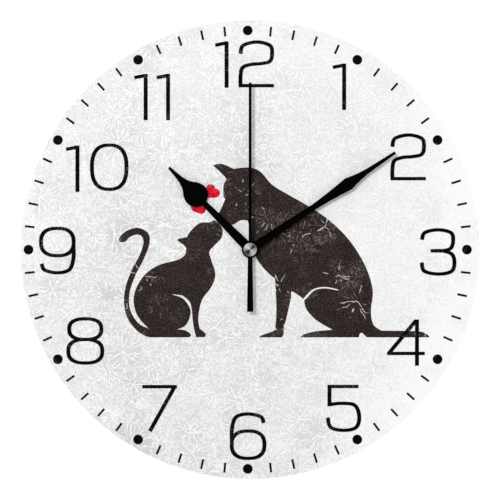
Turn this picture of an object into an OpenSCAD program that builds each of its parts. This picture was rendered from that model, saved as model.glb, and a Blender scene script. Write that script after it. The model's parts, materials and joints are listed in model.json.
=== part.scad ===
// Round wall clock with a printed cat-and-dog dial and a battery quartz movement.
// Millimetres. +Z is up, the dial faces -Y, and the wall is the plane y = 0.
// The origin is on the axis of the hands, where it meets the wall.
// A "depth" is a distance out from the wall, so it is -y.

/* [Dial] */
// Diameter of the dial disc
dial_d = 250; // [240:5:300]
// Thickness of the rigid backing board
board_t = 4; // [3.6:0.1:4.2]
// Thickness of the printed face sheet
sheet_t = 1; // [0.8:0.1:1.2]
// Thickness of the printed ink
ink_t = 0.1; // [0.05:0.05:0.15]

/* [Printed marks] */
// Radius of the ring of hour dots
track_r = 119.5; // [118:0.1:120]
// Diameter of an hour dot
dot_d = 5.3; // [3:0.1:6]
// Length of a minute line
tick_l = 5.3; // [3:0.1:6]
// Width of a minute line
tick_w = 1.15; // [0.6:0.05:1.6]
// Width of the upright strokes of the numerals
pen_upright = 1.95; // [1.4:0.05:2.6]
// Width of the level strokes of the numerals
pen_level = 1.6; // [1.2:0.05:2.4]
// Spread of the ink beyond the edge of each stroke
ink_spread = 0.12; // [0:0.01:0.3]
// How far the printed ring and numerals sit to the left of the hands' axis
print_left = 1.35; // [0:0.05:1.5]

/* [Hands] */
// Length of the hour hand from its axis
hour_l = 63; // [60:1:80]
// Length of the minute hand from its axis
minute_l = 95; // [90:1:110]
// Length of the second hand from its axis
second_l = 90.5; // [80:0.5:115]
// Length of the tail of the second hand
tail_l = 33.7; // [20:0.1:40]
// Direction of the hour hand, in degrees clockwise from 12
hour_at = 315.3; // [0:0.1:360]
// Direction of the minute hand, in degrees clockwise from 12
minute_at = 56.2; // [0:0.1:360]
// Direction of the second hand, in degrees clockwise from 12
second_at = 0; // [0:0.1:360]
// Diameter of the spun metal cap in the middle
cap_d = 7.4; // [6:0.1:9]

/* [Movement] */
// Width and height of the movement case
case_w = 56; // [56:0.5:60]
// Thickness of the wall of the movement case
wall_t = 1.2; // [1:0.1:1.2]
// Outer diameter of the threaded bush
bush_d = 7.9; // [7.5:0.1:8]
// Radial running clearance of the tubes of the hands
tube_gap = 0.08; // [0.04:0.01:0.1]
// Radial running clearance of the thin arbors
arbor_gap = 0.06; // [0.03:0.01:0.1]
// Share of a tooth space that the tooth fills
tooth_fill = 0.78; // [0.7:0.01:0.84]

/* [Battery] */
// Diameter of the AA cell
cell_d = 14; // [13.5:0.1:14]
// Length of the AA cell with its nub
cell_l = 50.5; // [49.5:0.1:50.5]

/* [Hanger] */
// Diameter of the round part of the keyhole
key_d = 8; // [7:0.5:9]
// Width of the slot of the keyhole
key_slot = 3.6; // [3:0.1:4.5]

/* [Hidden] */
$fn = 96;
e = 0.01;

// Depths of the case, from the wall outwards
floor_t = 1.2;
split_at = 11;
lid_in = 14.5;
case_t = 15.5;
seam = 0.3;
gasket_t = 0.8;
board_at = case_t + gasket_t;
sheet_at = board_at + board_t;
ink_at = sheet_at + sheet_t;
ink_top = ink_at + ink_t;

// Washer and nut, sunk in the front of the board under the face sheet
nut_t = 2;
washer_t = 0.5;
nut_room_d = 16;
bush_end = ink_at - 0.3;

// Depths of the hands
hand_t = 0.5;
hour_front = ink_at + 2;
minute_front = hour_front + 2;
second_front = minute_front + 2;
second_t = 0.3;
cap_at = second_front + second_t;
cap_t = 0.9;

// Radii of the coaxial stack
hour_tube_r = 2.55;
minute_tube_r = 1.65;
second_r = 0.5;
fine_r = 0.4;
stout_r = 0.9;

// Depths of the layers of wheels
rotor_layer = [5.5, 6.2];
inter_layer = [6.7, 7.4];
second_layer = [8.1, 8.8];
bridge_layer = [9.4, 10.4];
centre_layer = [10.8, 11.6];
clutch_layer = [11.8, 11.95];
cannon_layer = [12.1, 12.9];
hour_layer = [13.2, 14.1];

// Teeth of each mesh: pinion, wheel, and the distance between their axes
rotor_mesh = [8, 48, 7.0];
inter_mesh = [8, 40, 7.68];
third_mesh = [8, 60, 10.8];
centre_mesh = [8, 64, 10.8];
cannon_mesh = [12, 36, 11.5];
hour_mesh = [10, 40, 11.5];

// Bearings of the arbors round the middle: the direction of each from its mate
third_dir = 170;
inter_dir = 60;
rotor_dir = 80;
minute_dir = 0;
third_pos = centre_mesh[2]*heading(third_dir);
inter_pos = inter_mesh[2]*heading(inter_dir);
rotor_pos = inter_pos + rotor_mesh[2]*heading(rotor_dir);
minute_pos = hour_mesh[2]*heading(minute_dir);

// Teeth above and below the pitch circle, in modules
wheel_tip = 0.9;
pinion_tip = 0.6;
root = 1.25;

// Battery bay at the foot of the case
bay_z = -19.4;
cell_depth = 7.2;
bay_top = -12;
inner = case_w/2 - wall_t;
strip_t = 0.3;
strip_depth = [5.8, 8.8];
strip_top = bay_top + 1.2 + strip_t;

// Setting knob, sunk in a well in the back of the case
knob_r = 6;
knob_depth = [0.4, 3.4];
well_r = knob_r + 0.5;
well_depth = [3.8, 4.8];

// Pillars and pegs that carry the gear bridge
pillars = [[-22, -6], [-22, 5], [18.5, 8]];
peg_r = 0.8;

// Motor
magnet_r = 2.2;
stator_depth = [3.4, 4.2];
core_depth = [4.2, 5.8];
coil_z = 21;
coil_x = [-6, 16];
core_h = 2.4;

// Circuit board
board_box = [-26.3, 7.5, 14.3, 18.8];
circuit_depth = [5, 5.8];

// Hanger above the case
hanger_w = 18;
hanger_top = 42;
hanger_t = 2;
key_z = 33;
slot_z = 38.4;

// The marks are drawn for a 250 mm dial and grow with it
print_k = dial_d/250;

// ---------------------------------------------------------------- geometry helpers

// Unit vector at an angle counter-clockwise from 3 o'clock
function heading(a) = [cos(a), sin(a)];

// Solid between two depths, from a flat shape drawn as the clock is seen from the front
module layer(depths) {
    translate([0, -depths[0], 0])
        rotate([90, 0, 0])
            linear_extrude(depths[1] - depths[0])
                children();
}

// Solid of revolution on an axis parallel to the hands' axis, from a [radius, depth] outline
module turned(pos = [0, 0]) {
    translate([pos[0], 0, pos[1]])
        rotate([90, 0, 0])
            rotate_extrude()
                children();
}

// Round rod between two depths
module rod(pos, depths, r) {
    layer(depths) translate(pos) circle(r);
}

// Rectangle with round corners, centred
module rounded(w, h, r) {
    square([w - 2*r, h], center = true);
    square([w, h - 2*r], center = true);
    for (x = [-1, 1], y = [-1, 1])
        translate([x*(w/2 - r), y*(h/2 - r)]) circle(r);
}

// Smooth curve through the points of one stretch of an outline, without its last point
function between(a, b, c, d, t) =
    0.5*(2*b + (c - a)*t + (2*a - 5*b + 4*c - d)*t*t + (3*b - a - 3*c + d)*t*t*t);
function smooth(p, steps = 4) =
    let (last = len(p) - 1)
    [for (i = [0:last - 1], k = [0:steps - 1])
        between(p[max(i - 1, 0)], p[i], p[i + 1], p[min(i + 2, last)], k/steps)];

// Closed outline of several stretches, with a corner where one ends and the next begins.
// A stretch of one point is a corner with a straight side after it
function outline(stretches) =
    let (n = len(stretches))
    [for (i = [0:n - 1], p = smooth(concat(stretches[i], [stretches[(i + 1) % n][0]]))) p];

// Rounded square curve, flatter than an ellipse
function squircle(a, b, n = 64, power = 2.5) =
    [for (i = [0:n - 1])
        let (c = cos(360*i/n), s = sin(360*i/n))
        [a*sign(c)*pow(abs(c), 2/power), b*sign(s)*pow(abs(s), 2/power)]];

// ---------------------------------------------------------------- gears

// One tooth as [radius, angle] pairs: radial flanks and a rounded tip
function tooth(r, mod, tip, half) = [
    [r - root*mod, -half], [r, -half], [r + 0.6*tip*mod, -0.75*half], [r + tip*mod, -0.3*half],
    [r + tip*mod, 0.3*half], [r + 0.6*tip*mod, 0.75*half], [r, half], [r - root*mod, half]
];
function gear_outline(teeth, mod, tip, at) =
    [for (i = [0:teeth - 1], p = tooth(teeth*mod/2, mod, tip, tooth_fill*90/teeth))
        p[0]*heading(at + 360*i/teeth + p[1])];

// Module of a mesh, from its teeth and the distance between its axes
function module_of(mesh) = 2*mesh[2]/(mesh[0] + mesh[1]);

// Angle of a pinion tooth, so that a gap faces the wheel tooth that lies in direction dir
function pinion_at(mesh, dir) =
    dir + 180 - (0.5 - dir*mesh[1]/360)*360/mesh[0];

// The wheel has a tooth at 3 o'clock. dir points from the wheel to its pinion
module wheel_teeth(mesh) {
    polygon(gear_outline(mesh[1], module_of(mesh), wheel_tip, 0));
}
module pinion_teeth(mesh, dir) {
    polygon(gear_outline(mesh[0], module_of(mesh), pinion_tip, pinion_at(mesh, dir)));
}

// ---------------------------------------------------------------- dial

module face_sheet() {
    color("gainsboro")
        layer([sheet_at, ink_at])
            difference() {
                circle(d = dial_d, $fn = 240);
                circle(d = bush_d + 0.4);
            }
}

module backing_board() {
    color("white")
        difference() {
            layer([board_at, sheet_at]) circle(d = dial_d, $fn = 240);
            layer([board_at - 1, sheet_at + 1]) circle(d = bush_d + 0.4);
            layer([sheet_at - nut_t - washer_t - 0.1, sheet_at + 1]) circle(d = nut_room_d);
        }
}

// Ink on the face sheet
module ink() {
    layer([ink_at, ink_top]) scale([print_k, print_k]) children();
}

// Ink of the ring and the numerals, which are printed a little to the left
module ring_ink() {
    ink() translate([-print_left, 0]) children();
}

module hour_dot_print() {
    color("black")
        ring_ink()
            for (h = [0:11])
                rotate(30*h) translate([0, track_r]) circle(d = dot_d, $fn = 48);
}

module minute_line_print() {
    color("black")
        ring_ink()
            for (m = [0:59])
                if (m % 5 != 0)
                    rotate(6*m) translate([0, track_r]) square([tick_w, tick_l], center = true);
}

// ---------------------------------------------------------------- numerals

// Pen stroke along a path: upright stretches are thicker than level ones
function pen(d) = pen_level + (pen_upright - pen_level)*abs(d[1])/norm(d);
function run(p, i) = p[min(i + 1, len(p) - 1)] - p[max(i - 1, 0)];
function side(p, i, s) =
    let (d = run(p, i))
    p[i] + s*pen(d)/2*[-d[1], d[0]]/norm(d);
module stroke(p) {
    last = len(p) - 1;
    polygon([for (i = [0:last]) side(p, i, 1), for (i = [last:-1:0]) side(p, i, -1)]);
}
module curve(p) {
    stroke(concat(smooth(p, 6), [p[len(p) - 1]]));
}

// Closed loop of a digit, in a box w by h
module loop(w, h) {
    translate([w/2, h/2])
        difference() {
            polygon(squircle(w/2, h/2));
            polygon(squircle(w/2 - pen_upright, h/2 - pen_level));
        }
}

// Each digit stands on its base line with its left edge at x = 0
module digit_0() {
    loop(20.8, 25.7);
}
module digit_1() {
    translate([5.1, 0]) square([pen_upright, 25]);
    stroke([[0, 23.1], [6.2, 24.3]]);
}
module digit_2() {
    curve([[0.9, 18.3], [2.3, 22.7], [9.8, 24.6], [16.9, 22.7], [18.1, 18.4], [17, 14.2],
           [12.5, 12.9], [6.2, 12.3], [1.9, 10.5], [0.9, 6], [0.9, 0.5]]);
    square([19, pen_level]);
}
module digit_3() {
    curve([[1, 19.6], [2.6, 23.4], [9.8, 24.9], [16.8, 23.3], [18, 19], [16.6, 14.8],
           [12, 13.5], [5.8, 13.5]]);
    curve([[5.8, 13.5], [12.4, 13.4], [17.5, 11.4], [18.7, 6.6], [17, 2.2], [9.8, 0.8],
           [2.3, 2.4], [0.9, 7]]);
}
module digit_4() {
    translate([15.2, 0]) square([pen_upright, 25]);
    translate([0, 5.8]) square([20.3, pen_level]);
    stroke([[0.6, 6.4], [15.7, 24.6]]);
}
module digit_5() {
    translate([0.8, 23.9]) square([16.7, pen_level]);
    translate([0.8, 14]) square([pen_upright, 11]);
    curve([[1.2, 14.8], [8.5, 15.5], [15.6, 14.4], [18, 8.3], [16.3, 2.4], [9.5, 0.8],
           [2.5, 2.4], [0.9, 7.6]]);
}
module digit_6() {
    loop(19.8, 16.5);
    curve([[18.4, 20.2], [16.8, 23.5], [9.9, 25], [3.3, 23.3], [1.1, 17], [1.1, 10]]);
}
module digit_7() {
    translate([0, 23.4]) square([18.7, pen_level]);
    stroke([[17.6, 24.2], [4.1, 0]]);
}
module digit_8() {
    loop(20.5, 14.4);
    translate([0.5, 14.4 - pen_level]) loop(19.5, 25.7 - 14.4 + pen_level);
}
module digit_9() {
    translate([19.8, 25.7]) rotate(180) digit_6();
}

module numerals() {
    offset(r = ink_spread, $fn = 8) {
        translate([-17.6, 88.4]) digit_1();
        translate([-4.8, 88.6]) digit_2();
        translate([46.5, 76.3]) digit_1();
        translate([78, 37.9]) digit_2();
        translate([94, -14.1]) digit_3();
        translate([76.1, -63.2]) digit_4();
        translate([42.8, -99.3]) digit_5();
        translate([-9.7, -114.6]) digit_6();
        translate([-57.4, -98.9]) digit_7();
        translate([-98.8, -62.6]) digit_8();
        translate([-113.7, -13.3]) digit_9();
        translate([-98.9, 31.6]) digit_1();
        translate([-85.9, 32.1]) digit_0();
        translate([-61.7, 70.7]) digit_1();
        translate([-49.5, 70.7]) digit_1();
    }
}
module numeral_print() {
    color("black") ring_ink() numerals();
}

// ---------------------------------------------------------------- pictures

// The cat sits with its back to the left, its muzzle raised to the right
module cat_print() {
    tail_outer = [[-70.7, 4], [-68, 4.5], [-65.7, 6.8], [-62, 8.2], [-59.2, 7.3], [-58.2, 3.5],
        [-60.5, -3.5], [-64.3, -10.5], [-67.7, -19.5], [-68.8, -28.5], [-66.9, -37.3],
        [-61.9, -44], [-57.3, -47]];
    seat = [[-54.6, -47.8]];
    foot = [[-33.4, -47.8], [-32.3, -46.9], [-33.2, -45.3], [-36, -43.9]];
    haunch = [[-40, -43.5], [-35.3, -41.4], [-32.7, -36], [-33, -31.6], [-37, -26.4],
        [-42.7, -24.4]];
    belly = [[-37.2, -24.9], [-32.6, -29.2], [-31.2, -39.5], [-30.3, -44.5]];
    heel = [[-29.4, -47.7]];
    paw = [[-24.9, -47.7], [-24.2, -46.4], [-25.1, -45]];
    chest = [[-27.5, -43.2], [-28.3, -37], [-26.3, -27.5], [-21.1, -20.2], [-19, -13.5],
        [-21.2, -5.7], [-22.3, -1.2], [-19.7, 2.1], [-15.6, 6.6], [-15.2, 11.2], [-17.4, 14.6]];
    crown = [[-19.6, 16], [-22.5, 14.8], [-27.1, 14.7], [-31, 11.7], [-33.4, 8.9]];
    ear = [[-34.4, 6.8], [-39.7, 5.5], [-36.4, 2.7]];
    back = [[-34.9, 0.9], [-35.5, -2.7], [-39.6, -5.6], [-49.5, -8.3], [-57.1, -13.3],
        [-62.3, -21.4], [-63.5, -29], [-61.1, -36.6]];
    tail_inner = [[-55.3, -43.1], [-61.2, -39.9], [-65.5, -32.5], [-65.8, -23.7],
        [-62.8, -14.5], [-58.2, -5.5], [-55, 3], [-55.6, 9], [-61.3, 11.9], [-67, 10.4],
        [-70.2, 8], [-71.7, 5.4]];
    color("saddlebrown")
        ink()
            polygon(outline([tail_outer, seat, foot, haunch, belly, heel, paw, chest, crown,
                             ear, back, tail_inner]));
}

// The dog sits with its back to the right, looking down at the cat
module dog_print() {
    ear = [[-20.4, 46], [-15.5, 46.8], [-9.3, 44.2]];
    back = [[-7.5, 44.3], [0, 44.7], [5.7, 42.4], [11.8, 35.5], [20, 30.4], [31.9, 23.6],
        [43.5, 15.7], [54.2, 4.9], [62.8, -9], [66.8, -22.3], [65.8, -33], [67.1, -40.8]];
    tail = [[71.6, -44.2], [91, -44.5], [95.6, -45.8], [97.6, -47.3]];
    tip = [[97, -47.8]];
    rump = [[63.6, -47.8]];
    notch = [[60.9, -45.3], [59.8, -45.8]];
    seat = [[59.2, -47.8]];
    hind_paw = [[27.4, -47.8], [29.5, -46.1], [36, -44.5]];
    thigh = [[44.9, -43.7], [35.7, -38.2], [30.7, -32.5], [29.5, -28.1]];
    crease = [[30.6, -26.7], [34.8, -22.4], [40.6, -21.1], [47.6, -22.2]];
    flank = [[47.8, -21.7], [40.7, -20.3], [33.9, -21.8], [29, -26.7]];
    belly = [[28.5, -26.4], [24.5, -23.7], [22.5, -22.9]];
    leg_back = [[22.3, -25.9], [20.5, -34.1], [18.5, -42.5], [18.1, -46.6]];
    heel = [[17.2, -47.8]];
    paw = [[4.7, -47.8], [6.8, -46.5], [13.2, -44.1]];
    leg_front = [[13.7, -41.8], [14.3, -33], [13.6, -15.9]];
    chest = [[13.5, -15.6], [10.4, -13.3], [3.9, -5.5], [0.3, 5], [-0.9, 14.3]];
    jaw = [[-1.9, 15.9], [-5.2, 16], [-9.8, 13.5], [-14, 14.5], [-18, 18], [-16.5, 21],
        [-13.8, 27.2]];
    brow = [[-14.5, 28.5], [-14.6, 34.5], [-13.1, 38.3]];
    ear_front = [[-13.5, 39.4], [-16.5, 42.5]];
    // clear of the hole for the hands, and of the numeral that crosses the tail
    color("saddlebrown")
        ink()
            difference() {
                polygon(outline([ear, back, tail, tip, rump, notch, seat, hind_paw, thigh,
                                 crease, flank, belly, leg_back, heel, paw, leg_front, chest,
                                 jaw, brow, ear_front]));
                circle(d = bush_d + 0.4);
                translate([-print_left, 0]) numerals();
            }
}

// Heart of two round lobes on a square that stands on a blunt corner
module heart(pos, width, tilt) {
    a = width/(1 + sqrt(0.5));
    blunt = 0.4*a;
    translate(pos)
        rotate(tilt + 45)
            translate([-a/2, -a/2]) {
                translate([blunt, 0]) square([a - blunt, a]);
                translate([0, blunt]) square([a, a - blunt]);
                translate([blunt, blunt]) circle(blunt, $fn = 48);
                translate([a/2, a]) circle(a/2, $fn = 48);
                translate([a, a/2]) circle(a/2, $fn = 48);
            }
}
module heart_print() {
    color("crimson")
        ink() {
            heart([-21.5, 30.7], 8.5, -42);
            heart([-27, 22.4], 9.5, 24);
            heart([-29.2, 32.4], 7.2, 8);
        }
}

// ---------------------------------------------------------------- fixing

module gasket() {
    color("dimgray")
        layer([case_t, board_at])
            difference() {
                rounded(50, 50, 3);
                circle(d = bush_d + 0.6);
            }
}

module washer() {
    color("gold")
        layer([sheet_at - nut_t - washer_t, sheet_at - nut_t])
            difference() {
                circle(d = nut_room_d - 1.5);
                circle(d = bush_d + 0.4);
            }
}

module hex_nut() {
    color("gold")
        layer([sheet_at - nut_t, sheet_at])
            difference() {
                circle(d = 13.8, $fn = 6);
                circle(d = bush_d + 0.1);
            }
}

module hanger_plate() {
    color("black") {
        layer([0, hanger_t])
            difference() {
                translate([0, (case_w/2 + hanger_top)/2])
                    rounded(hanger_w, hanger_top - case_w/2, 2);
                translate([0, key_z]) circle(d = key_d);
                translate([0, slot_z]) circle(d = key_slot);
                translate([-key_slot/2, key_z]) square([key_slot, slot_z - key_z]);
            }
        // gussets down to the top of the case
        for (x = [-hanger_w/2 + 1, hanger_w/2 - 2])
            translate([x, 0, case_w/2])
                rotate([90, 0, 90])
                    linear_extrude(1)
                        polygon([[-1, 0], [-8, 0], [-hanger_t, 6], [-1, 6]]);
    }
}

// ---------------------------------------------------------------- case

module case_ring(w) {
    difference() {
        rounded(w, w, 3);
        rounded(2*inner, 2*inner, 1.8);
    }
}

// Places of the four clips along the top and the bottom of the case
module clips() {
    for (x = [-19, 19], turn = [0, 180])
        rotate([0, turn, 0]) translate([x, 0, case_w/2]) children();
}

// Curved arrow with its head at the upper end
module arrow(r) {
    difference() {
        circle(r + 0.4);
        circle(r - 0.4);
        translate([-r - 1, -r - 1]) square([r + 1, 2*r + 2]);
        translate([-r - 1, -r - 1]) square([2*r + 2, r - 2]);
        translate([-r - 1, 4.1]) square([2*r + 2, r]);
    }
    rotate(25) polygon([[r - 1.5, 0], [r + 1.5, 0], [r, 2.6]]);
}

// Marks sunk in the back: the turning arrow of the knob and the signs of the two poles
module back_marks() {
    translate(minute_pos) arrow(well_r + 3);
    translate([-24, bay_top + 2.6]) {
        square([2.6, 0.7], center = true);
        square([0.7, 2.6], center = true);
    }
    translate([24, bay_top + 2.6]) square([2.6, 0.7], center = true);
}

// Post on the floor of the case with a blind hole for an arbor's pivot
module post(pos, top, r, hole) {
    difference() {
        rod(pos, [floor_t - e, top], r);
        rod(pos, [floor_t + 0.5, top + 1], hole);
    }
}

module case_back() {
    color("dimgray") {
        layer([0, split_at]) case_ring(case_w);
        difference() {
            layer([0, floor_t])
                difference() {
                    rounded(case_w - e, case_w - e, 3);
                    translate([-26, bay_z - 7.4]) square([52, bay_top - bay_z + 7.4]);
                    translate(minute_pos) circle(well_r);
                }
            layer([-1, 0.3]) back_marks();
            // bed of the label
            layer([-1, 0.2]) translate([-12, 5]) rounded(20, 18, 1);
        }
        // studs that the clips of the front snap over
        clips()
            translate([-1.5, -9.2, -e]) cube([3, 1.2, 0.5 + e]);
        // wall between the battery and the wheels
        layer([0, lid_in])
            translate([-26.1, bay_top]) square([52.2, 1.2]);
        // well of the setting knob
        layer([0, well_depth[1]])
            translate(minute_pos)
                difference() {
                    circle(well_r + 1);
                    circle(well_r);
                }
        layer(well_depth)
            translate(minute_pos)
                difference() {
                    circle(well_r + e);
                    circle(stout_r + arbor_gap);
                }
        // pillars with pegs for the gear bridge
        for (p = pillars) {
            rod(p, [floor_t - e, bridge_layer[0]], 1.5);
            rod(p, [floor_t, bridge_layer[1] + 0.3], peg_r);
        }
        // rests of the circuit board and of the stator
        for (p = [[-23.5, 14], [-14, 24]])
            rod(p, [floor_t - e, circuit_depth[0]], 1.3);
        for (x = [-9, 19])
            rod([x, 14], [floor_t - e, stator_depth[0]], 1.3);
        post([0, 0], 5, 1.6, second_r + arbor_gap);
        post(inter_pos, 4.9, 1.2, fine_r + arbor_gap);
        post(third_pos, 7.4, 1.3, second_r + arbor_gap);
        post(rotor_pos, 2.6, 1.2, fine_r + arbor_gap);
    }
}

// Outline of the bush: a plain foot and a ridged thread
thread_from = board_at + 0.5;
thread_pitch = 0.75;
thread_cut = 0.3;
turns = floor((bush_end - thread_from)/thread_pitch) - 1;
function thread(r) =
    [for (i = [0:turns])
        each [[r, thread_from + i*thread_pitch],
              [r - thread_cut, thread_from + (i + 0.5)*thread_pitch]]];

module case_front() {
    bore = hour_tube_r + tube_gap;
    color("dimgray") {
        layer([split_at, lid_in + e]) case_ring(case_w - seam);
        clips()
            difference() {
                translate([-3.5, -lid_in, -seam/2 - e]) cube([7, lid_in - 6.5, 0.7 + seam/2 + e]);
                translate([-3.5 - e, -split_at - e, -1]) cube([7 + 2*e, split_at - 6, 1]);
                translate([-1.8, -9.5, -1]) cube([3.6, 1.8, 2]);
            }
        difference() {
            layer([lid_in, case_t]) rounded(case_w - seam, case_w - seam, 3);
            rod([0, 0], [lid_in - 1, case_t + 1], bore);
            rod(minute_pos, [lid_in - 1, case_t - 0.2], second_r + arbor_gap);
        }
        turned()
            polygon(concat([[bore, case_t - e], [bush_d/2, case_t - e]], thread(bush_d/2),
                           [[bush_d/2, bush_end], [bore, bush_end]]));
        // front bearing of the third wheel
        difference() {
            rod(third_pos, [12, lid_in + e], 0.8);
            rod(third_pos, [11.5, lid_in - 0.2], fine_r + arbor_gap/2);
        }
    }
}

module gear_bridge() {
    color("ivory")
        layer(bridge_layer)
            difference() {
                translate([-2, 4]) rounded(45, 25, 3);
                for (p = pillars)
                    translate(p) circle(peg_r);
                circle(second_r + arbor_gap);
                translate(third_pos) circle(second_r + arbor_gap);
                translate(minute_pos) circle(stout_r + arbor_gap);
                translate(inter_pos) circle(fine_r + arbor_gap);
                translate(rotor_pos) circle(fine_r + arbor_gap);
            }
}

// ---------------------------------------------------------------- wheels

module rotor_pinion() {
    color("white") {
        rod(rotor_pos, [2, 10], fine_r);
        rod(rotor_pos, [3, 5], stout_r);
        layer(rotor_layer) translate(rotor_pos) pinion_teeth(rotor_mesh, rotor_dir);
    }
}

module rotor_magnet() {
    color("darkslategray")
        layer([3, 4.7])
            translate(rotor_pos)
                difference() {
                    circle(magnet_r);
                    circle(stout_r);
                }
}

module intermediate_wheel() {
    color("white") {
        rod(inter_pos, [2.3, 10], fine_r);
        layer(rotor_layer) translate(inter_pos) wheel_teeth(rotor_mesh);
        rod(inter_pos, [rotor_layer[1] - e, inter_layer[0] + e], 0.9);
        layer(inter_layer) translate(inter_pos) pinion_teeth(inter_mesh, inter_dir);
    }
}

module second_wheel() {
    color("white")
        difference() {
            union() {
                layer(inter_layer) wheel_teeth(inter_mesh);
                rod([0, 0], [inter_layer[1] - e, second_layer[0] + e], 0.85);
                layer(second_layer) pinion_teeth(third_mesh, third_dir + 180);
            }
            rod([0, 0], [inter_layer[0] - 1, second_layer[1] + 1], second_r);
        }
}

module second_arbor() {
    color("silver") rod([0, 0], [2, cap_at], second_r);
}

module third_wheel() {
    color("white") {
        rod(third_pos, [2, centre_layer[0] + e], second_r);
        layer(second_layer) translate(third_pos) wheel_teeth(third_mesh);
        layer(centre_layer) translate(third_pos) pinion_teeth(centre_mesh, third_dir);
        rod(third_pos, [centre_layer[1] - e, 13.2], fine_r);
    }
}

module centre_wheel() {
    color("white")
        layer(centre_layer)
            difference() {
                wheel_teeth(centre_mesh);
                circle(minute_tube_r + 0.05);
            }
}

// Flat three-armed spring that lets the hands be set against the running train
module clutch_spring() {
    color("gold")
        layer(clutch_layer)
            difference() {
                union() {
                    circle(2.4);
                    for (a = [0, 120, 240])
                        rotate(a) translate([0, -0.5]) square([4.6, 1]);
                }
                circle(minute_tube_r);
            }
}

module minute_tube() {
    color("gold")
        difference() {
            union() {
                rod([0, 0], [10.7, minute_front + 0.1], minute_tube_r);
                layer(cannon_layer) pinion_teeth(cannon_mesh, minute_dir + 180);
            }
            rod([0, 0], [10, minute_front + 1], second_r + tube_gap);
        }
}

module minute_wheel() {
    color("white")
        translate([minute_pos[0], 0, minute_pos[1]]) {
            rod([0, 0], [0.8, cannon_layer[0] + e], stout_r);
            layer(cannon_layer) wheel_teeth(cannon_mesh);
            layer([cannon_layer[1] - e, hour_layer[1]]) pinion_teeth(hour_mesh, minute_dir);
            rod([0, 0], [hour_layer[1] - e, 15.1], second_r);
        }
}

module hour_wheel() {
    color("white")
        difference() {
            union() {
                layer(hour_layer) wheel_teeth(hour_mesh);
                rod([0, 0], [hour_layer[0], hour_front + 0.1], hour_tube_r);
            }
            rod([0, 0], [hour_layer[0] - 1, hour_front + 1], minute_tube_r + tube_gap);
        }
}

module setting_knob() {
    flutes = 30;
    color("black")
        difference() {
            layer(knob_depth)
                translate(minute_pos)
                    difference() {
                        circle(knob_r);
                        for (i = [0:flutes - 1])
                            rotate(360*i/flutes) translate([knob_r + 0.15, 0]) circle(0.4, $fn = 16);
                    }
            rod(minute_pos, [0.8, knob_depth[1] + 1], stout_r);
        }
}

// ---------------------------------------------------------------- motor and circuit

// Round bar along X at the height and depth of the coil
module coil_bar(x, r) {
    translate([x[0], -(core_depth[0] + core_depth[1])/2, coil_z])
        rotate([0, 90, 0])
            cylinder(r = r, h = x[1] - x[0]);
}

module coil_core() {
    color("silver")
        layer(core_depth)
            translate([-10.5, coil_z - core_h/2]) square([31, core_h]);
}

module coil_bobbin() {
    color("ivory")
        difference() {
            union() {
                coil_bar(coil_x, 1.9);
                coil_bar([coil_x[0] - 0.8, coil_x[0]], 3.6);
                coil_bar([coil_x[1], coil_x[1] + 0.8], 3.6);
            }
            layer(core_depth)
                translate([-10.5, coil_z - core_h/2]) square([31, core_h]);
        }
}

module coil_winding() {
    color("peru")
        difference() {
            coil_bar(coil_x, 3.2);
            coil_bar([coil_x[0] - 1, coil_x[1] + 1], 1.9);
        }
}

module stator() {
    color("silver")
        layer(stator_depth)
            difference() {
                union() {
                    translate([-10.5, 10.5]) square([31, 6]);
                    for (x = [-10.5, 17.5])
                        translate([x, 10.5]) square([3, 12]);
                }
                translate(rotor_pos) circle(magnet_r + 0.4);
            }
}

module circuit_board() {
    color("green")
        layer(circuit_depth)
            translate([board_box[0], board_box[1]]) square([board_box[2], board_box[3]]);
}

// Drop of black resin over the chip
module ic_blob() {
    color("black")
        turned([-19, 17])
            polygon([for (a = [0:10:90]) [2.8*cos(a), circuit_depth[1] + 1.1*sin(a)],
                     [0, circuit_depth[1]]]);
}

module quartz_crystal() {
    color("silver")
        translate([-14.3, -circuit_depth[1] - 1, 12]) {
            cylinder(r = 1, h = 6);
            for (x = [-0.4, 0.4])
                translate([x, 0, -2]) cylinder(r = 0.15, h = 2);
        }
}

// ---------------------------------------------------------------- battery

module positive_contact() {
    color("silver") {
        layer(strip_depth)
            translate([-inner, -23]) square([strip_t, 35]);
        layer([strip_depth[0], strip_depth[0] + strip_t])
            translate([-inner, 10]) square([2.8, 2]);
        translate([-inner + strip_t, -cell_depth, bay_z])
            rotate([0, 90, 0])
                cylinder(r = 1.4, h = 0.9);
    }
}

// The spring tongue bows towards the cell
module negative_contact() {
    bow = [for (t = [-1:0.25:1]) [inner - 0.7*cos(90*t) - strip_t, bay_z + 4*t]];
    color("silver") {
        layer(strip_depth) {
            translate([inner - strip_t, -24]) square([strip_t, strip_top + 24]);
            translate([-25.5, strip_top - strip_t]) square([inner + 25.5, strip_t]);
            translate([-25.5, strip_top - strip_t]) square([strip_t, 9.2 - strip_top + strip_t]);
            polygon(concat(bow, [for (i = [len(bow) - 1:-1:0]) bow[i] + [strip_t, 0]]));
        }
        layer([strip_depth[0], strip_depth[0] + strip_t])
            translate([-25.5, 7.7]) square([3, 1.5]);
    }
}

// Round bar along X on the axis of the cell
module cell_bar(x, r) {
    translate([x[0], -cell_depth, bay_z])
        rotate([0, 90, 0])
            cylinder(r = r, h = x[1] - x[0]);
}

module battery_cell() {
    end = cell_l/2;
    color("silver") {
        cell_bar([-end + 1.2, end - 0.3], cell_d/2 - 0.15);
        cell_bar([-end, -end + 1.2 + e], 2.7);
        cell_bar([end - 0.3 - e, end], 4.5);
    }
}

module battery_jacket() {
    color("steelblue")
        difference() {
            cell_bar([-cell_l/2 + 1.7, cell_l/2 - 0.6], cell_d/2);
            cell_bar([-cell_l/2 - 1, cell_l/2 + 1], cell_d/2 - 0.15);
        }
}

// ---------------------------------------------------------------- hands

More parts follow.
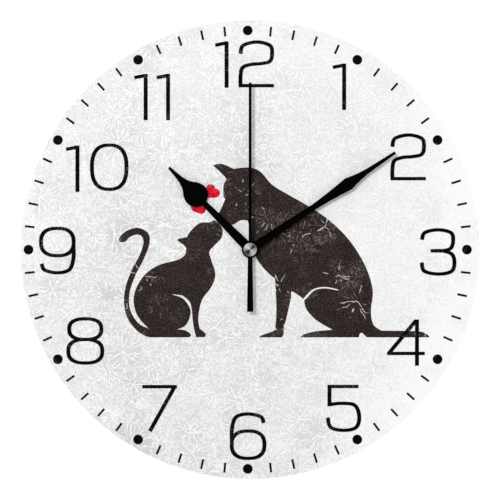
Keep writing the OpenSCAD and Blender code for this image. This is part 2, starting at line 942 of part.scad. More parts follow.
// Blade that is symmetrical about its length, from [distance, half width] pairs
module blade(profile) {
    polygon([for (p = profile) [p[1], p[0]],
             for (i = [len(profile) - 1:-1:0]) [-profile[i][1], profile[i][0]]]);
}

// The blade widens to a round bulb and flares down to a fine tip
module hour_hand() {
    bulb = hour_l - 21;
    bulb_r = 6.6;
    tip_r = 0.75;
    flare = smooth([[bulb + 3, 5.9], [bulb + 4.6, 5.1], [bulb + 6, 3.95], [bulb + 8, 2.75],
                    [bulb + 10, 2.1], [bulb + 12, 1.6], [bulb + 15, 1.2],
                    [hour_l - tip_r, tip_r]]);
    color("black")
        difference() {
            union() {
                layer([hour_front - hand_t, hour_front]) {
                    circle(4.65);
                    rotate(-hour_at) {
                        blade([[0, 2.7], [9, 2.55], [22, 2.05], [bulb - 6, 1.55], [bulb, 1.55]]);
                        translate([0, bulb]) circle(bulb_r);
                        blade(concat(flare, [[hour_l - tip_r, tip_r]]));
                        translate([0, hour_l - tip_r]) circle(tip_r, $fn = 32);
                    }
                }
                rod([0, 0], [ink_top + 0.5, hour_front], 3.4);
            }
            rod([0, 0], [ink_top, hour_front + 1], hour_tube_r);
        }
}

// The blade widens to a kink and narrows again in two hollow curves
module minute_hand() {
    kink = minute_l - 30.7;
    tip_r = 0.78;
    rise = smooth([[kink - 22.5, 1.65], [kink - 14.5, 2.1], [kink - 6.5, 2.8], [kink, 3.5]]);
    fall = smooth([[kink, 3.5], [kink + 5.5, 2.25], [kink + 11.5, 1.5], [kink + 17.5, 1.18],
                   [minute_l - tip_r, tip_r]]);
    color("black")
        difference() {
            union() {
                layer([minute_front - hand_t, minute_front]) {
                    circle(4.45);
                    rotate(-minute_at) {
                        blade(concat([[0, 2.5], [15, 2.2]], rise, fall,
                                     [[minute_l - tip_r, tip_r]]));
                        translate([0, minute_l - tip_r]) circle(tip_r, $fn = 32);
                    }
                }
                rod([0, 0], [hour_front + 0.5, minute_front], 2.6);
            }
            rod([0, 0], [hour_front, minute_front + 1], minute_tube_r);
        }
}

module second_hand() {
    color("black")
        difference() {
            union() {
                layer([second_front, cap_at]) {
                    circle(3);
                    rotate(-second_at)
                        blade([[-tail_l, 1.72], [0, 1.2], [0, 0.84], [second_l, 0.78]]);
                }
                rod([0, 0], [minute_front + 0.5, cap_at], 1.6);
            }
            rod([0, 0], [minute_front, cap_at + 1], second_r);
        }
}

// Spun cap: an almost flat disc with a rounded rim
module hub_cap() {
    r = cap_d/2;
    color("silver")
        turned()
            polygon(concat([[0, cap_at], [r - 0.2, cap_at]],
                           [for (a = [-60:15:75]) [r - 0.3 + 0.3*cos(a), cap_at + 0.5 + 0.3*sin(a)]],
                           [[0.4, cap_at + cap_t - 0.05], [0, cap_at + cap_t]]));
}

face_sheet();
backing_board();
numeral_print();
hour_dot_print();
minute_line_print();
cat_print();
dog_print();
heart_print();
gasket();
washer();
hex_nut();
case_front();
case_back();
hanger_plate();
gear_bridge();
circuit_board();
ic_blob();
quartz_crystal();
coil_bobbin();
coil_winding();
coil_core();
stator();
rotor_magnet();
rotor_pinion();
intermediate_wheel();
second_wheel();
second_arbor();
third_wheel();
centre_wheel();
clutch_spring();
minute_tube();
minute_wheel();
setting_knob();
hour_wheel();
positive_contact();
negative_contact();
battery_cell();
battery_jacket();
hour_hand();
minute_hand();
second_hand();
hub_cap();
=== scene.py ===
import json
import math

import bmesh
import bpy
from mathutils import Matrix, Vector


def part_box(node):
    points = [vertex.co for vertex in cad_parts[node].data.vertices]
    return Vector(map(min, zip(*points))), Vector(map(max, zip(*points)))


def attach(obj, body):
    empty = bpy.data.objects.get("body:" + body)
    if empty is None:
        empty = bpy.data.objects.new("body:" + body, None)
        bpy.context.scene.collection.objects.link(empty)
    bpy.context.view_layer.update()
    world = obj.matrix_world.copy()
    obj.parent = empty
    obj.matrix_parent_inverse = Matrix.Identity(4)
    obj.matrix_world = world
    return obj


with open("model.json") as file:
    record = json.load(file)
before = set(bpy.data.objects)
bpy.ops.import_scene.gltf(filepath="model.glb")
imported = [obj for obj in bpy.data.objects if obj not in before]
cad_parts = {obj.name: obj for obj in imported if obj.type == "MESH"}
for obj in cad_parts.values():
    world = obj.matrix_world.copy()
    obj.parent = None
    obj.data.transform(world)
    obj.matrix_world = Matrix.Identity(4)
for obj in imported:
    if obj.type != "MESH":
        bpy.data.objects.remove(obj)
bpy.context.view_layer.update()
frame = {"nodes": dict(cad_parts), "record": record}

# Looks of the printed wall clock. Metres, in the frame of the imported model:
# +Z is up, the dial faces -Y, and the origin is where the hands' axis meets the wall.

MM = 0.001
FADE_RADIUS = 118.0     # mm, about where the print of the dial has faded at its rim, and where the painted washout of light on its right is whitest
NARROW_PAINTED_DARK_WEDGE = 0.73     # radians from 3 o'clock, direction of the cap's narrow wedge of painted dark reflection
WIDE_PAINTED_DARK_WEDGE = 3.95       # radians, direction of its wide one
LABEL_CENTRE = (-12.0, 5.0)     # mm, x and z of the paper label
LABEL_HALF = (9.7, 8.7)         # mm, half its width and height
LABEL_DEPTH = (-0.19, -0.06)    # mm, y of its inner and its outer face
LABEL_CORNER = 0.8      # mm, its corner radius
LABEL_EASE = 0.03       # mm, how far its edges are eased
LABEL_MARGIN = 1.1      # mm, from its edge to the ruled frame
LABEL_RULE = 2.9        # mm, from its middle to each rule
LEAD_RADIUS = 0.09      # mm, of the coil's enamelled wire
WINDING_RATE = 16.0     # radians of a sine per mm, which gives a turn of wire every 0.2 mm
BAND_CENTRE = 19.5      # mm, from the cell's middle to each pale band of its sleeve
STRAND_RATES = (0.22, 1.7)      # per mm, along and across a strand of the fibre board
WELD_GAP = 1e-6         # metres, vertices of a CAD piece closer than this are joined
SHARP_ANGLE = math.radians(35)  # edges sharper than this are softened
NODES = frame["nodes"]


# ---------------------------------------------------------------- shader building

class Shader:
    """A new material with one Principled shader, and short calls that add its nodes."""

    def __init__(self, name):
        self.material = bpy.data.materials.new(name)
        self.material.use_nodes = True
        self.tree = self.material.node_tree
        self.bsdf = self.tree.nodes["Principled BSDF"]

    def feed(self, socket, value):
        if isinstance(value, bpy.types.NodeSocket):
            self.tree.links.new(value, socket)
        else:
            socket.default_value = value

    def node(self, kind, **settings):
        made = self.tree.nodes.new("ShaderNode" + kind)
        for name, value in settings.items():
            setattr(made, name, value)
        return made

    def math(self, operation, a, b=0.0, c=0.0):
        made = self.node("Math", operation=operation)
        for socket, value in zip(made.inputs, (a, b, c)):
            self.feed(socket, value)
        return made.outputs[0]

    def vector(self, operation, a, b=(0.0, 0.0, 0.0), c=(0.0, 0.0, 0.0), scale=1.0):
        made = self.node("VectorMath", operation=operation)
        for socket, value in zip(made.inputs, (a, b, c, scale)):
            self.feed(socket, value)
        return made.outputs["Value" if operation == "LENGTH" else "Vector"]

    def split(self, place):
        made = self.node("SeparateXYZ")
        self.feed(made.inputs[0], place)
        return made.outputs

    def join(self, x=0.0, y=0.0, z=0.0):
        made = self.node("CombineXYZ")
        for socket, value in zip(made.inputs, (x, y, z)):
            self.feed(socket, value)
        return made.outputs[0]

    def millimetres(self):
        """Position on the piece in millimetres, fixed to the piece."""
        place = self.node("TexCoord").outputs["Object"]
        return self.vector("SCALE", place, scale=1 / MM)

    def noise(self, where, scale, detail=2.0, roughness=0.5, output="Fac"):
        made = self.node("TexNoise")
        self.feed(made.inputs["Vector"], where)
        made.inputs["Scale"].default_value = scale
        made.inputs["Detail"].default_value = detail
        made.inputs["Roughness"].default_value = roughness
        return made.outputs[output]

    def rise(self, value, low, high, start=0.0, end=1.0):
        """Goes smoothly from start to end as value goes from low to high."""
        made = self.node("MapRange", interpolation_type="SMOOTHSTEP")
        for socket, number in zip(made.inputs, (value, low, high, start, end)):
            self.feed(socket, number)
        return made.outputs["Result"]

    def mix(self, factor, a, b):
        """Mixes two colours. The node's colour sockets are 6 and 7, and 2 comes out."""
        made = self.node("Mix", data_type="RGBA")
        self.feed(made.inputs["Factor"], factor)
        self.feed(made.inputs[6], a)
        self.feed(made.inputs[7], b)
        return made.outputs[2]

    def bump(self, height, depth, strength=1.0):
        """Surface relief, depth in metres."""
        made = self.node("Bump")
        self.feed(made.inputs["Height"], height)
        made.inputs["Distance"].default_value = depth
        made.inputs["Strength"].default_value = strength
        self.feed(self.bsdf.inputs["Normal"], made.outputs["Normal"])

    def set(self, **sockets):
        for name, value in sockets.items():
            self.feed(self.bsdf.inputs[name.replace("_", " ")], value)
        return self


def grey(value):
    return (value, value, value, 1.0)


def starburst(s, place, cell, seed, forks, width, ground=0.0):
    """Fibres that fork as they leave scattered centres: 1 on a fibre, 0 in the clear.

    cell is the usual distance between centres and width the width of a fibre, in millimetres.
    forks lists the number of fibres and the share of the radius where they start and end.
    ground is taken off everywhere within a burst, so that its gaps are darker than the clear."""
    parts = s.split(place)
    flat = s.join(s.math("ADD", parts["X"], seed), parts["Z"])
    wander = s.vector("MULTIPLY_ADD", s.noise(flat, 0.3, 3.0, 0.6, "Color"), (3.2, 3.2, 0.0), flat)
    cells = s.node("TexVoronoi", voronoi_dimensions="2D")
    s.feed(cells.inputs["Vector"], wander)
    cells.inputs["Scale"].default_value = 1 / cell
    away = s.vector("SUBTRACT", wander, cells.outputs["Position"])
    radius = s.vector("LENGTH", s.vector("MULTIPLY", away, (1.0, 1.0, 0.0)))
    arm = s.split(away)
    turn = s.math("DIVIDE", s.math("ARCTAN2", arm["Y"], arm["X"]), 2 * math.pi)
    lot = s.split(cells.outputs["Color"])
    reach = s.math("MULTIPLY_ADD", lot["X"], 0.32 * cell, 0.26 * cell)
    share = s.math("DIVIDE", radius, reach)
    drawn = 0.0
    for count, start, end in forks:
        steps = s.math("MULTIPLY_ADD", turn, float(count), s.math("MULTIPLY", lot["Y"], 7.0))
        off = s.math("ABSOLUTE", s.math("SUBTRACT", s.math("FRACT", steps), 0.5))
        gap = s.math("MULTIPLY", s.math("MULTIPLY", off, radius), 2 * math.pi / count)
        line = s.rise(gap, 0.2 * width, 0.8 * width, 1.0, 0.0)
        pick = s.node("TexWhiteNoise", noise_dimensions="1D")
        s.feed(pick.inputs["W"], s.math("ADD", s.math("FLOOR", steps),
                                        s.math("MULTIPLY", lot["Z"], 50.0)))
        kept = s.rise(pick.outputs["Value"], 0.25, 0.45)
        inside = s.math("MULTIPLY", s.rise(share, start - 0.1, start),
                        s.rise(share, end - 0.25, end, 1.0, 0.0))
        fibre = s.math("MULTIPLY", line, s.math("MULTIPLY", kept, inside))
        drawn = s.math("MAXIMUM", drawn, fibre)
    alive = s.rise(lot["Z"], 0.2, 0.25)
    if ground:
        drawn = s.math("SUBTRACT", drawn, s.rise(share, 0.75, 1.0, ground, 0.0))
    return s.math("MULTIPLY", drawn, alive)


# ---------------------------------------------------------------- printed surfaces

# Forks of the two kinds of burst, as starburst takes them
FERN = ((6, 0.02, 0.6), (13, 0.35, 0.85), (25, 0.6, 1.0))
TWIG = ((3, 0.02, 0.8), (8, 0.4, 1.0))


def dial_face():
    """Light grey print with clouds, fine white frost and pale specks, fading out at the rim, with
    painted light: brighter towards the upper right and washed out white at the right rim.
    """
    s = Shader("dial_face")
    place = s.millimetres()
    parts = s.split(place)
    # Painted light: the dial brighter towards the right and a little towards the top
    painted_light_slope = s.math("ADD", s.math("MULTIPLY", parts["X"], 0.0045),
                   s.math("MULTIPLY", parts["Z"], 0.0013))
    out = s.vector("LENGTH", s.vector("MULTIPLY", place, (1 / FADE_RADIUS, 0.0, 1 / FADE_RADIUS)))
    side = s.math("ABSOLUTE", s.math("DIVIDE", parts["X"], FADE_RADIUS))
    # Paler towards the rim and both sides, with the painted light of the slope added
    rim = s.math("MULTIPLY_ADD", s.math("POWER", out, 4.0), 0.15,
                 s.math("MULTIPLY_ADD", s.math("POWER", side, 3.0), 0.42, painted_light_slope))
    clouds = s.rise(s.noise(place, 0.02, 5.0, 0.68), 0.3, 0.7, 0.22, 0.76)
    base = s.mix(s.math("ADD", clouds, rim), (0.635, 0.638, 0.637, 1.0),
                 (0.855, 0.854, 0.849, 1.0))
    frost = s.math("ADD", starburst(s, place, 21.0, seed=0.0, forks=FERN, width=0.46, ground=0.28),
                   starburst(s, place, 15.0, seed=300.0, forks=FERN, width=0.4, ground=0.24))
    curl = s.math("ABSOLUTE", s.math("SUBTRACT", s.noise(place, 0.62, 2.0, 0.6), 0.5))
    veins = s.math("MULTIPLY", s.rise(curl, 0.0, 0.1, 0.55, -0.2),
                   s.rise(s.noise(place, 0.08, 2.0), 0.4, 0.6, 0.35, 1.0))
    grain = s.rise(s.noise(place, 1.1, 2.0, 0.8), 0.3, 0.7, -0.3, 0.82)
    # Painted light: the right side of the rim washed out towards white
    right = s.math("MULTIPLY_ADD", parts["X"], 0.98, s.math("MULTIPLY", parts["Z"], -0.18))
    painted_washout = s.math("MULTIPLY", s.math("POWER", out, 5.0), s.rise(right, 42.0, 112.0, 0.0, 0.9))
    strength = s.rise(s.noise(place, 0.07, 2.0, 0.6), 0.38, 0.54, 0.8, 2.6)
    antlers = s.math("MULTIPLY", starburst(s, place, 22.0, seed=70.0, forks=TWIG, width=0.6),
                     s.rise(s.noise(place, 0.25, 2.0), 0.42, 0.54))
    bursts = s.math("MULTIPLY_ADD", frost, strength, antlers)
    white = s.math("ADD", s.math("ADD", bursts, veins), s.math("ADD", grain, painted_washout))
    colour = s.mix(white, base, grey(0.995))
    s.set(Base_Color=colour, Roughness=0.42, Specular_IOR_Level=0.2)
    s.bump(s.noise(place, 4.0, 2.0), 0.02 * MM, 0.3)
    return s.material


def animal_ink():
    """Very dark brown ink, scratched through by pale starbursts and a few white twigs."""
    s = Shader("animal_ink")
    place = s.millimetres()
    tone = s.rise(s.noise(place, 0.12, 3.0, 0.6), 0.3, 0.7)
    base = s.mix(tone, (0.0138, 0.0091, 0.0078, 1.0), (0.0222, 0.015, 0.0129, 1.0))
    grain = s.rise(s.noise(place, 1.5, 2.0, 0.8), 0.49, 0.74, 0.0, 0.36)
    frost = s.math("MAXIMUM", starburst(s, place, 19.0, seed=0.0, forks=FERN, width=0.3),
                   starburst(s, place, 15.0, seed=60.0, forks=FERN, width=0.27))
    strength = s.math("MULTIPLY", s.rise(s.noise(place, 0.6, 2.0), 0.35, 0.65, 0.2, 0.85),
                      s.rise(s.noise(place, 0.045, 1.0), 0.38, 0.56, 0.16, 0.8))
    twigs = s.math("MULTIPLY", starburst(s, place, 26.0, seed=140.0, forks=TWIG, width=0.34),
                   s.rise(s.noise(place, 0.25, 2.0), 0.45, 0.56, 0.0, 0.95))
    pale = s.math("MAXIMUM", grain, s.math("MULTIPLY", frost, strength))
    colour = s.mix(pale, base, (0.34, 0.27, 0.245, 1.0))
    colour = s.mix(twigs, colour, (0.75, 0.69, 0.65, 1.0))
    s.set(Base_Color=colour, Roughness=0.6, Specular_IOR_Level=0.04)
    return s.material


def dial_ink():
    """Dense black ink of the numerals, dots and lines, with a few worn specks."""
    s = Shader("dial_ink")
    place = s.millimetres()
    tone = s.rise(s.noise(place, 1.2, 3.0, 0.6), 0.5, 0.8)
    specks = s.math("MULTIPLY", s.rise(s.noise(place, 1.7, 2.0, 0.7), 0.6, 0.7),
                    s.rise(s.noise(place, 0.11, 1.0), 0.48, 0.6, 0.0, 0.5))
    colour = s.mix(tone, grey(0.0008), grey(0.006))
    s.set(Base_Color=s.mix(specks, colour, grey(0.5)), Roughness=0.6, Specular_IOR_Level=0.03)
    return s.material


def heart_ink():
    """Bright red ink, deeper in places, with paler brush streaks."""
    s = Shader("heart_ink")
    place = s.millimetres()
    deep = s.rise(s.noise(place, 0.45, 2.0), 0.4, 0.62)
    base = s.mix(deep, (0.38, 0.0, 0.012, 1.0), (0.82, 0.008, 0.03, 1.0))
    streak = s.rise(s.noise(s.vector("MULTIPLY", place, (1.0, 1.0, 0.4)), 1.5, 2.0), 0.56, 0.7)
    colour = s.mix(s.math("MULTIPLY", streak, 0.5), base, (0.95, 0.2, 0.22, 1.0))
    s.set(Base_Color=colour, Roughness=0.55, Specular_IOR_Level=0.06)
    return s.material


# ---------------------------------------------------------------- other surfaces

def strands(s, parts, angle, seed):
    """Scattered straight fibres that lie at one angle: 1 on a fibre, 0 between them."""
    east, north = math.cos(angle), math.sin(angle)
    slow, fast = STRAND_RATES
    along = s.math("MULTIPLY_ADD", parts["X"], slow * east,
                   s.math("MULTIPLY", parts["Z"], slow * north))
    across = s.math("MULTIPLY_ADD", parts["X"], -fast * north,
                    s.math("MULTIPLY", parts["Z"], fast * east))
    return s.rise(s.noise(s.join(along, seed, across), 1.0, 1.0), 0.63, 0.74)


def fibre_board():
    """Pressed wood fibre: fine flecks on brown, and on its face longer pale and dark strands."""
    s = Shader("fibre_board")
    place = s.millimetres()
    parts = s.split(place)
    fleck = s.noise(s.vector("MULTIPLY", place, (1.0, 2.5, 0.6)), 2.6, 4.0, 0.75)
    cloud = s.noise(place, 0.03, 3.0)
    base = s.mix(s.rise(fleck, 0.3, 0.72), (0.22, 0.13, 0.07, 1.0), (0.44, 0.3, 0.185, 1.0))
    colour = s.mix(s.rise(cloud, 0.3, 0.7, 0.0, 0.35), base, (0.3, 0.19, 0.11, 1.0))
    pale, dark = 0.0, 0.0
    for count, angle in enumerate((0.3, 1.0, 1.7, 2.4, 3.0)):
        pale = s.math("MAXIMUM", pale, strands(s, parts, angle, 7.0 * count))
        dark = s.math("MAXIMUM", dark, strands(s, parts, angle + 0.35, 7.0 * count + 50.0))
    normal = s.split(s.node("TexCoord").outputs["Normal"])
    on_face = s.rise(s.math("ABSOLUTE", normal["Y"]), 0.4, 0.8)
    dark = s.math("MULTIPLY", dark, s.math("MULTIPLY", on_face, 0.6))
    pale = s.math("MULTIPLY", pale, s.math("MULTIPLY", on_face, 0.55))
    colour = s.mix(dark, colour, (0.13, 0.075, 0.042, 1.0))
    colour = s.mix(pale, colour, (0.6, 0.44, 0.29, 1.0))
    s.set(Base_Color=colour, Roughness=0.75, Specular_IOR_Level=0.3)
    s.bump(s.math("MULTIPLY_ADD", pale, 1.8, fleck), 0.03 * MM, 0.5)
    return s.material


def moulded(name, colour, roughness, grain, depth):
    """Moulded plastic with a fine spark-eroded grain and slight shade changes.

    grain is the size of the grain in millimetres, and depth its relief in metres."""
    s = Shader(name)
    place = s.millimetres()
    texture = s.noise(place, 1 / grain, 2.0, 0.6)
    cloud = s.noise(place, 0.08, 2.0)
    paler = tuple(min(1.0, c * 1.35 + 0.004) for c in colour[:3]) + (1.0,)
    s.set(Base_Color=s.mix(s.rise(cloud, 0.3, 0.7), colour, paler),
          Roughness=s.rise(texture, 0.3, 0.7, roughness - 0.06, roughness + 0.08),
          Specular_IOR_Level=0.4)
    s.bump(texture, depth, 0.5)
    return s.material


def metal(name, colour, roughness, stretch, scratch):
    """Worked metal with fine marks, finer along the axes where stretch is larger.

    scratch is their relief in metres."""
    s = Shader(name)
    place = s.millimetres()
    marks = s.noise(s.vector("MULTIPLY", place, stretch), 3.0, 3.0, 0.7)
    darker = tuple(c * 0.78 for c in colour[:3]) + (1.0,)
    s.set(Base_Color=s.mix(s.rise(marks, 0.3, 0.7), darker, colour), Metallic=1.0,
          Roughness=s.rise(marks, 0.25, 0.75, roughness - 0.08, roughness + 0.1))
    s.bump(marks, scratch, 0.4)
    return s.material


def spun_metal():
    """Cap turned on a lathe: fine rings that fan the light out, and two wedges of painted dark
    reflection in its colour.
    """
    s = Shader("spun_metal")
    place = s.millimetres()
    distance = s.vector("LENGTH", s.vector("MULTIPLY", place, (1.0, 0.0, 1.0)))
    rings = s.noise(s.join(distance), 9.0, 3.0)
    parts = s.split(place)
    turn = s.math("ARCTAN2", parts["Z"], parts["X"])
    # Painted dark reflection: two wedges of the cap darkened in its colour, less towards its edge,
    # standing in for the dark sectors that spun metal mirrors
    narrow_painted_dark = s.rise(s.math("COSINE", s.math("SUBTRACT", turn, NARROW_PAINTED_DARK_WEDGE)),
                    0.87, 0.995, 0.0, 0.96)
    wide_painted_dark = s.rise(s.math("COSINE", s.math("SUBTRACT", turn, WIDE_PAINTED_DARK_WEDGE)), 0.6, 1.0, 0.0, 0.95)
    painted_dark_reflection = s.math("MULTIPLY", s.math("MAXIMUM", narrow_painted_dark, wide_painted_dark),
                  s.rise(distance, 2.3, 3.8, 1.0, 0.45))
    bright = s.mix(rings, grey(0.12), grey(0.42))
    tangent = s.node("Tangent", direction_type="RADIAL", axis="Y")
    s.feed(s.bsdf.inputs["Tangent"], tangent.outputs[0])
    s.set(Base_Color=s.mix(painted_dark_reflection, bright, grey(0.01)), Metallic=1.0, Roughness=0.42,
          Anisotropic=0.6, Anisotropic_Rotation=0.25)
    s.bump(rings, 0.01 * MM, 0.4)
    return s.material


def hand_paint():
    """Thin black paint on stamped sheet, almost without gloss."""
    s = Shader("hand_paint")
    place = s.millimetres()
    peel = s.noise(place, 2.2, 2.0)
    s.set(Base_Color=s.mix(peel, grey(0.0003), grey(0.0009)),
          Roughness=s.rise(peel, 0.3, 0.7, 0.46, 0.62), Specular_IOR_Level=0.012)
    s.bump(peel, 0.01 * MM, 0.3)
    return s.material


def copper_winding():
    """Close turns of enamelled wire round the bobbin's X axis, with painted shade in the grooves
    between turns.
    """
    s = Shader("copper_wire")
    place = s.millimetres()
    phase = s.math("MULTIPLY", s.split(place)["X"], WINDING_RATE)
    turn = s.math("ABSOLUTE", s.math("SINE", phase))
    tone = s.mix(s.noise(place, 0.6, 2.0), (0.5, 0.15, 0.05, 1.0), (0.75, 0.28, 0.1, 1.0))
    # Painted shade: the wire's colour darkens to deep brown in the grooves between turns
    s.set(Base_Color=s.mix(turn, (0.2, 0.05, 0.02, 1.0), tone), Metallic=0.9, Roughness=0.3)
    s.bump(turn, 0.06 * MM)
    return s.material


def circuit_green():
    """Solder mask over copper tracks."""
    s = Shader("circuit_green")
    place = s.millimetres()
    tracks = s.node("TexBrick")
    s.feed(tracks.inputs["Vector"], s.vector("MULTIPLY", place, (1.0, 0.0, 1.0)))
    tracks.inputs["Scale"].default_value = 0.35
    tracks.inputs["Mortar Size"].default_value = 0.06
    cover = s.mix(s.noise(place, 0.5, 2.0), (0.01, 0.11, 0.03, 1.0), (0.02, 0.17, 0.05, 1.0))
    s.set(Base_Color=s.mix(tracks.outputs["Fac"], cover, (0.05, 0.3, 0.1, 1.0)), Roughness=0.28)
    s.bump(tracks.outputs["Fac"], 0.03 * MM)
    return s.material


def cell_label():
    """Printed sleeve of the cell: plain blue with two pale bands at its ends."""
    s = Shader("cell_label")
    place = s.millimetres()
    along = s.math("ABSOLUTE", s.split(place)["X"])
    band = s.rise(s.math("ABSOLUTE", s.math("SUBTRACT", along, BAND_CENTRE)), 1.2, 1.35, 1.0, 0.0)
    base = s.mix(s.noise(place, 0.3, 2.0), (0.02, 0.09, 0.25, 1.0), (0.03, 0.12, 0.31, 1.0))
    s.set(Base_Color=s.mix(band, base, grey(0.7)), Roughness=0.25, Coat_Weight=0.4,
          Coat_Roughness=0.15)
    s.bump(s.noise(place, 1.0, 2.0), 0.01 * MM, 0.3)
    return s.material


def label_film():
    """Blank paper label with a thin ruled frame and two rules, a little yellowed."""
    s = Shader("label_film")
    place = s.millimetres()
    parts = s.split(place)
    across = s.math("ABSOLUTE", s.math("SUBTRACT", parts["X"], LABEL_CENTRE[0]))
    up = s.math("SUBTRACT", parts["Z"], LABEL_CENTRE[1])
    outside = s.math("MAXIMUM", s.math("SUBTRACT", across, LABEL_HALF[0] - LABEL_MARGIN),
                     s.math("SUBTRACT", s.math("ABSOLUTE", up), LABEL_HALF[1] - LABEL_MARGIN))
    frame_line = s.rise(s.math("ABSOLUTE", outside), 0.08, 0.14, 1.0, 0.0)
    rule = s.math("ABSOLUTE", s.math("SUBTRACT", s.math("ABSOLUTE", up), LABEL_RULE))
    rules = s.math("MULTIPLY", s.rise(rule, 0.06, 0.12, 1.0, 0.0),
                   s.rise(outside, -0.05, 0.0, 1.0, 0.0))
    paper = s.mix(s.rise(s.noise(place, 0.25, 3.0), 0.35, 0.7), (0.8, 0.79, 0.75, 1.0),
                  (0.7, 0.67, 0.59, 1.0))
    fibre = s.noise(s.vector("MULTIPLY", place, (3.0, 1.0, 1.0)), 3.0, 3.0, 0.6)
    ruled = s.math("MULTIPLY", s.math("MAXIMUM", frame_line, rules), 0.8)
    colour = s.mix(ruled, paper, grey(0.06))
    s.set(Base_Color=colour, Roughness=s.rise(fibre, 0.3, 0.7, 0.45, 0.6))
    s.bump(fibre, 0.015 * MM, 0.4)
    return s.material


MATERIALS = {
    "dial_face": dial_face(),
    "fibre_board": fibre_board(),
    "dial_ink": dial_ink(),
    "animal_ink": animal_ink(),
    "heart_ink": heart_ink(),
    "hand_paint": hand_paint(),
    "spun_metal": spun_metal(),
    "black_rubber": moulded("black_rubber", grey(0.02), 0.7, 0.5, 0.05 * MM),
    "brass": metal("brass", (0.83, 0.6, 0.28, 1.0), 0.28, (1.0, 6.0, 1.0), 0.01 * MM),
    "case_plastic": moulded("case_plastic", (0.018, 0.018, 0.02, 1.0), 0.46, 0.35, 0.05 * MM),
    "white_plastic": moulded("white_plastic", (0.78, 0.77, 0.72, 1.0), 0.35, 0.6, 0.01 * MM),
    "steel": metal("steel", (0.68, 0.68, 0.67, 1.0), 0.3, (1.0, 4.0, 4.0), 0.01 * MM),
    "magnet": metal("magnet", (0.12, 0.12, 0.125, 1.0), 0.5, (1.0, 1.0, 1.0), 0.03 * MM),
    "copper_wire": copper_winding(),
    "circuit_green": circuit_green(),
    "resin": moulded("resin", grey(0.008), 0.18, 1.5, 0.02 * MM),
    "cell_label": cell_label(),
}

for subpart in frame["record"]["subparts"]:
    mesh = NODES[subpart["node"]].data
    mesh.materials.clear()
    mesh.materials.append(MATERIALS[subpart["material_slot"]])


# ---------------------------------------------------------------- small fitted pieces

def fitted(name, shape, material):
    """Adds a finished piece that stays on the clock. The shape is a bmesh in millimetres."""
    bmesh.ops.scale(shape, vec=(MM, MM, MM), verts=shape.verts)
    bmesh.ops.recalc_face_normals(shape, faces=shape.faces)
    mesh = bpy.data.meshes.new(name)
    shape.to_mesh(mesh)
    shape.free()
    mesh.materials.append(material)
    for face in mesh.polygons:
        face.use_smooth = True
    piece = bpy.data.objects.new(name, mesh)
    bpy.context.scene.collection.objects.link(piece)
    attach(piece, "clock")


def directions(count):
    """Angles of count equal steps round a circle, in radians."""
    return [math.radians(360 / count * step) for step in range(count)]


def join_rims(shape, rims):
    """Skins a stack of rims and closes both ends."""
    count = len(rims[0])
    for low, high in zip(rims, rims[1:]):
        for i in range(count):
            shape.faces.new((low[i], low[(i + 1) % count], high[(i + 1) % count], high[i]))
    shape.faces.new(rims[0])
    shape.faces.new(rims[-1])


def label_rim(inset):
    """Outline of the label with round corners, as x and z in millimetres."""
    rim = []
    for turn in directions(24):
        reach = (math.cos(turn), math.sin(turn))
        # Taken slightly past turn, so that straight up or sideways falls to one corner only
        past = turn + 1e-4
        corner = (math.copysign(1, math.cos(past)), math.copysign(1, math.sin(past)))
        rim.append([LABEL_CENTRE[i] + corner[i] * (LABEL_HALF[i] - LABEL_CORNER)
                    + (LABEL_CORNER - inset) * reach[i] for i in (0, 1)])
    return rim


def paper_label():
    """Paper label in its bed in the back of the case: corners rounded, edges eased."""
    shape = bmesh.new()
    inner, outer = LABEL_DEPTH
    levels = ((LABEL_EASE, inner), (0.0, inner + LABEL_EASE),
              (0.0, outer - LABEL_EASE), (LABEL_EASE, outer))
    join_rims(shape, [[shape.verts.new((x, y, z)) for x, z in label_rim(inset)]
                      for inset, y in levels])
    fitted("paper_label", shape, label_film())


# Side of a joint, as shares of its radius and its height
SOLDER_PROFILE = ((1.0, -0.03), (0.97, 0.02), (0.72, 0.18), (0.52, 0.42), (0.38, 0.7),
                  (0.24, 0.92), (0.08, 1.0))


def solder_joints(joints, surface):
    """Cones of solder with hollow sides. Each joint is x, z, radius and height."""
    shape = bmesh.new()
    for x, z, radius, height in joints:
        rims = [[shape.verts.new((x + radius * r * math.cos(turn), surface - height * h,
                                  z + radius * r * math.sin(turn)))
                 for turn in directions(18)] for r, h in SOLDER_PROFILE]
        join_rims(shape, rims)
    fitted("solder_joints", shape, MATERIALS["steel"])


def coil_lead(name, stops):
    """Fine enamelled wire from the winding to its joint, through the given stops."""
    shape = bmesh.new()
    route = [Vector(stop) for stop in stops]
    route = [route[0]] + route + [route[-1]]
    steps = 8       # between two stops, on a Catmull-Rom curve
    path = []
    for a, b, c, d in zip(route, route[1:], route[2:], route[3:]):
        for step in range(steps):
            t = step / steps
            path.append(0.5 * (2 * b + (c - a) * t + (2 * a - 5 * b + 4 * c - d) * t * t
                               + (3 * b - a - 3 * c + d) * t ** 3))
    path.append(route[-1])
    clear = Vector((0.0, 1.0, 0.3))     # a direction in which neither lead runs
    rims = []
    for before, here, after in zip([path[0]] + path, path, path[1:] + [path[-1]]):
        along = (after - before).normalized()
        side = along.cross(clear).normalized()
        up = along.cross(side)
        rims.append([shape.verts.new(here + LEAD_RADIUS * (side * math.cos(turn)
                                                           + up * math.sin(turn)))
                     for turn in directions(8)])
    join_rims(shape, rims)
    fitted(name, shape, MATERIALS["copper_wire"])


# The coil's two leads, the crystal's two legs and the two contacts
JOINTS = [(-13.6, 24.0, 0.75, 0.6), (-13.6, 25.3, 0.55, 0.5), (-14.7, 10.25, 0.36, 1.25),
          (-13.9, 10.25, 0.36, 1.25), (-23.9, 11.0, 0.8, 0.55), (-22.4, 8.5, 0.7, 0.5)]

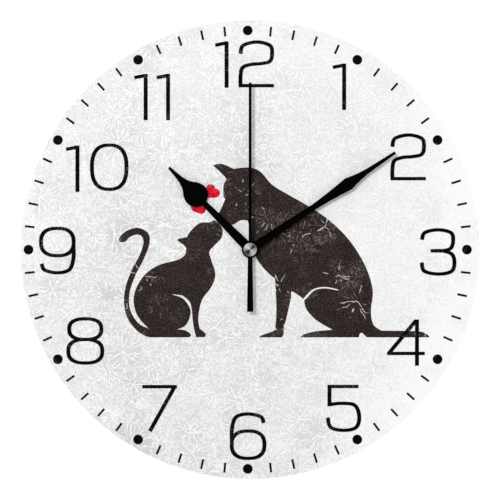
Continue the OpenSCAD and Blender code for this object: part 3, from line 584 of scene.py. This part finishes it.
paper_label()
solder_joints(JOINTS, surface=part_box("circuit_board")[0].y / MM)
coil_lead("coil_lead_start", [(-5.2, -8.15, 21.6), (-6.4, -8.75, 21.7), (-8.2, -8.5, 22.4),
                              (-10.6, -7.3, 23.2), (-12.6, -6.35, 23.8), (-13.6, -5.9, 24.0)])
coil_lead("coil_lead_end", [(-5.2, -7.4, 23.15), (-6.4, -7.7, 23.65), (-8.4, -7.5, 24.3),
                            (-10.8, -6.8, 24.9), (-12.8, -6.1, 25.3), (-13.6, -5.9, 25.3)])


# ---------------------------------------------------------------- softened edges

def soften(node, width):
    """Rounds the sharp edges of a CAD piece by width, in metres."""
    piece = NODES[node]
    weld = piece.modifiers.new("weld", "WELD")
    weld.merge_threshold = WELD_GAP
    bevel = piece.modifiers.new("bevel", "BEVEL")
    bevel.width = width
    bevel.segments = 2
    bevel.limit_method = "ANGLE"
    bevel.angle_limit = SHARP_ANGLE


soften("case_back", 0.15 * MM)
soften("case_front", 0.12 * MM)
soften("hanger_plate", 0.2 * MM)
soften("backing_board", 0.2 * MM)


# ---------------------------------------------------------------- floor, light and camera

def area_light(name, place, size, power):
    """Square lamp that shines on the middle of the clock. Metres and watts."""
    data = bpy.data.lights.new(name, "AREA")
    data.size = size
    data.energy = power
    light = bpy.data.objects.new(name, data)
    bpy.context.scene.collection.objects.link(light)
    light.location = place
    light.rotation_euler = (-light.location).to_track_quat("-Z", "Y").to_euler()


def floor(height, half_width):
    """Plain pale floor far below the clock, which hangs at eye level."""
    mesh = bpy.data.meshes.new("floor")
    corners = [(x * half_width, y * half_width, height)
               for x, y in ((-1, -1), (1, -1), (1, 1), (-1, 1))]
    mesh.from_pydata(corners, [], [(0, 1, 2, 3)])
    surface = Shader("floor").set(Base_Color=grey(0.85), Roughness=0.8)
    mesh.materials.append(surface.material)
    piece = bpy.data.objects.new("floor", mesh)
    bpy.context.scene.collection.objects.link(piece)


def studio(backdrop, fill):
    """White to the camera, and a softer even light on the object."""
    world = bpy.data.worlds.new("studio")
    world.use_nodes = True
    tree = world.node_tree
    shade = tree.nodes["Background"]
    shade.inputs["Color"].default_value = grey(1.0)
    seen = tree.nodes.new("ShaderNodeLightPath")
    strength = tree.nodes.new("ShaderNodeMapRange")
    tree.links.new(seen.outputs["Is Camera Ray"], strength.inputs["Value"])
    strength.inputs["To Min"].default_value = fill
    strength.inputs["To Max"].default_value = backdrop
    tree.links.new(strength.outputs["Result"], shade.inputs["Strength"])
    bpy.context.scene.world = world


def camera():
    """Long lens square to the dial. The frame is a little wider than the dial."""
    frame_width = 272.6 * MM
    left, down = 0.1 * MM, 0.2 * MM     # from the hands' axis to the middle of the picture
    data = bpy.data.cameras.new("camera")
    data.lens = 135.0
    data.sensor_width = 36.0
    dial_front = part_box("face_sheet")[0].y
    distance = frame_width * data.lens / data.sensor_width
    eye = bpy.data.objects.new("camera", data)
    bpy.context.scene.collection.objects.link(eye)
    eye.location = (-left, dial_front - distance, -down)
    eye.rotation_euler = (math.radians(90), 0.0, 0.0)
    bpy.context.scene.camera = eye


floor(height=-1.6, half_width=6.0)
studio(backdrop=1.0, fill=0.6)
area_light("key", (-0.42, -1.5, 0.42), size=0.25, power=11.0)
area_light("back_fill", (0.6, 1.2, 0.6), size=0.6, power=12.0)
camera()
bpy.context.scene.view_settings.view_transform = "Standard"
